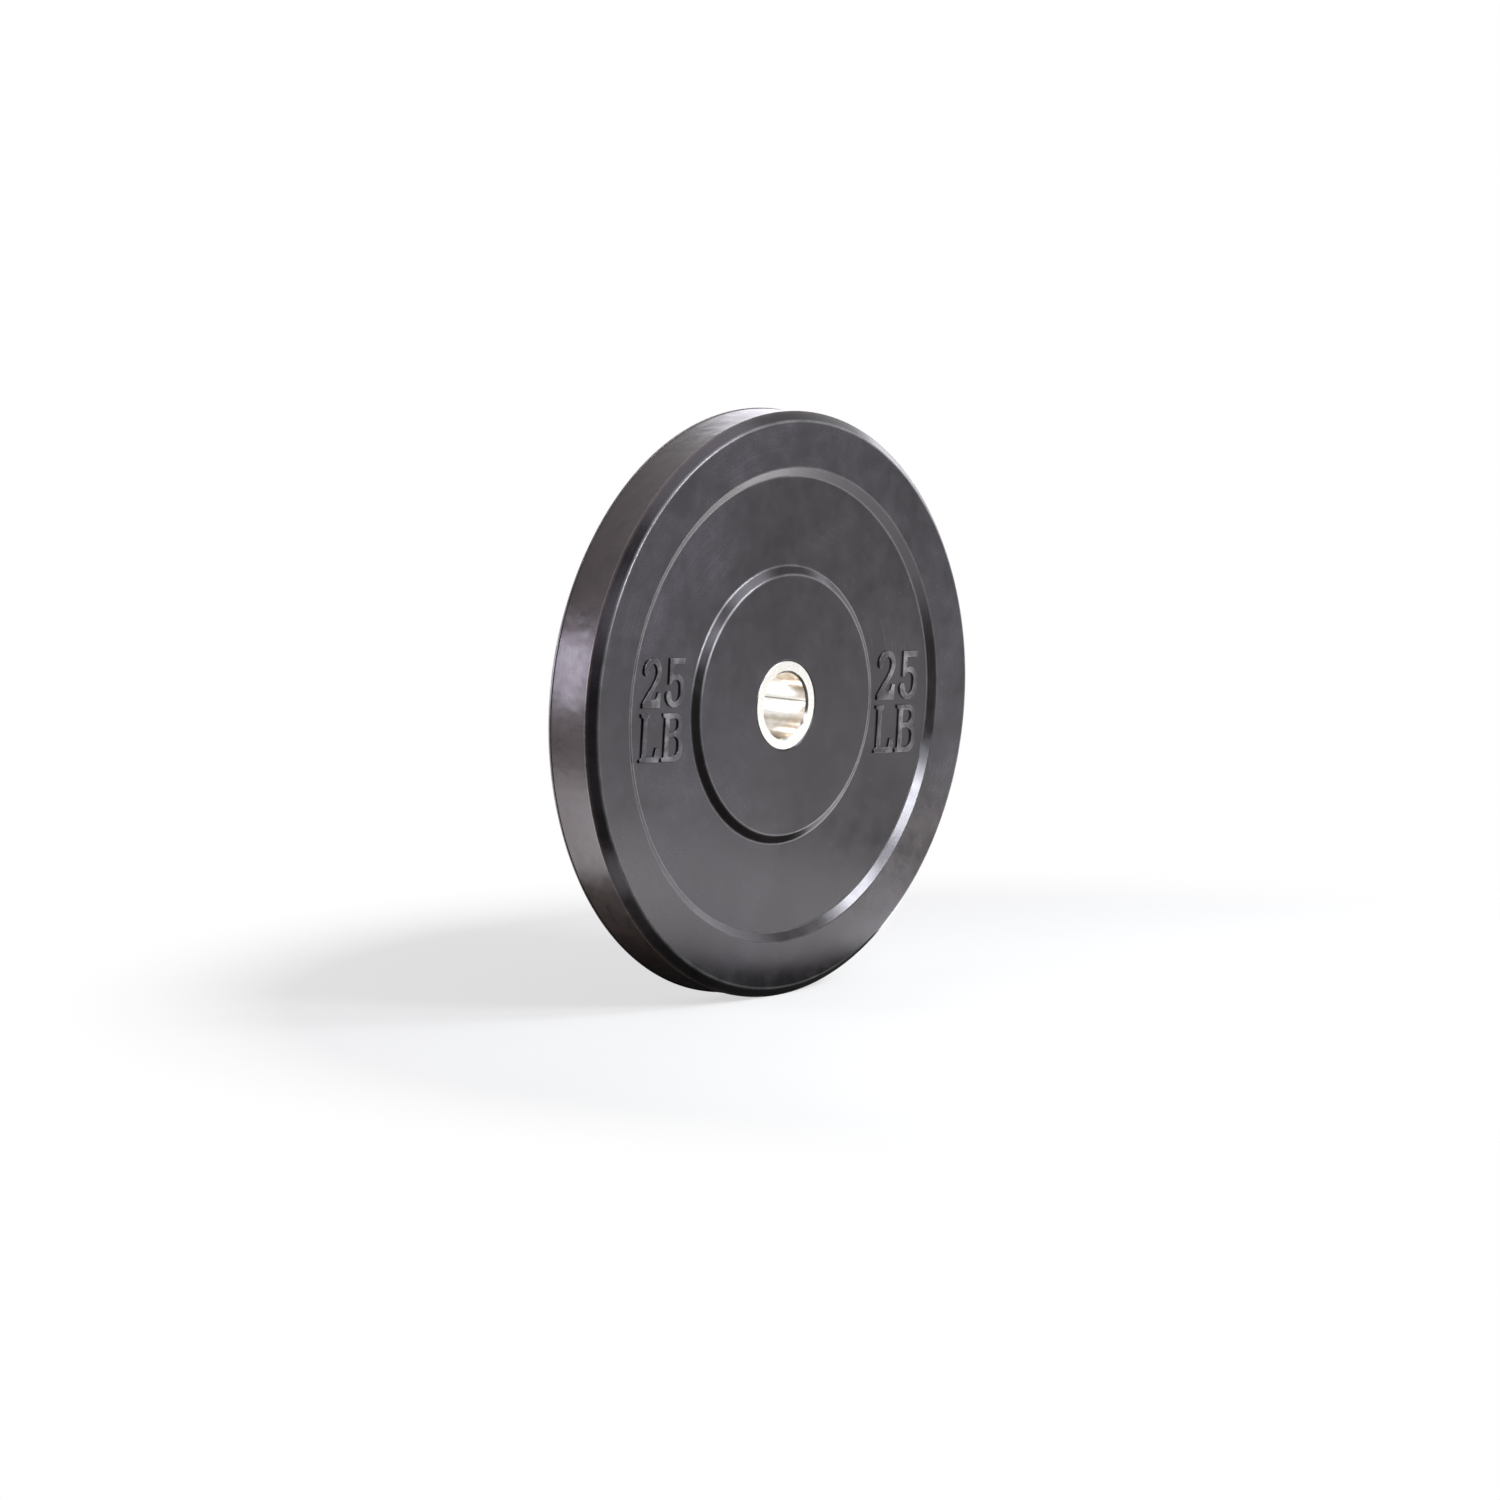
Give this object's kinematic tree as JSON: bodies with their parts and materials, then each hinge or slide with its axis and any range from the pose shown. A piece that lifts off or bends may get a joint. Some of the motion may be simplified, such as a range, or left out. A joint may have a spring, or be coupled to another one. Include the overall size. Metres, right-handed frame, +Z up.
{
  "type": "bumper plate",
  "caption": "Rubber weight plate with a bevelled rim, dished web, raised hub and a steel sleeve for a 50 mm barbell.",
  "frame": {"origin": "on the plate's axis, halfway through its thickness", "axes": "+Y along the bore axis towards the back face, +Z up with the plate standing on its edge, +X across; the front face looks along -Y"},
  "size_m": [0.4496, 0.05, 0.4496],
  "materials": {
    "rubber": "compression-moulded black rubber, dull with faint bloom and scuffs",
    "stainless_steel": "turned stainless steel",
    "mild_steel": "bare rolled steel plate, cut edges",
    "weld_metal": "unground fillet weld"
  },
  "bodies": {
    "root": {"rubber_body": "rubber", "hub_sleeve": "stainless_steel", "anchor_disc": "mild_steel", "weld_bead_front": "weld_metal", "weld_bead_back": "weld_metal"}
  },
  "joints": []
}
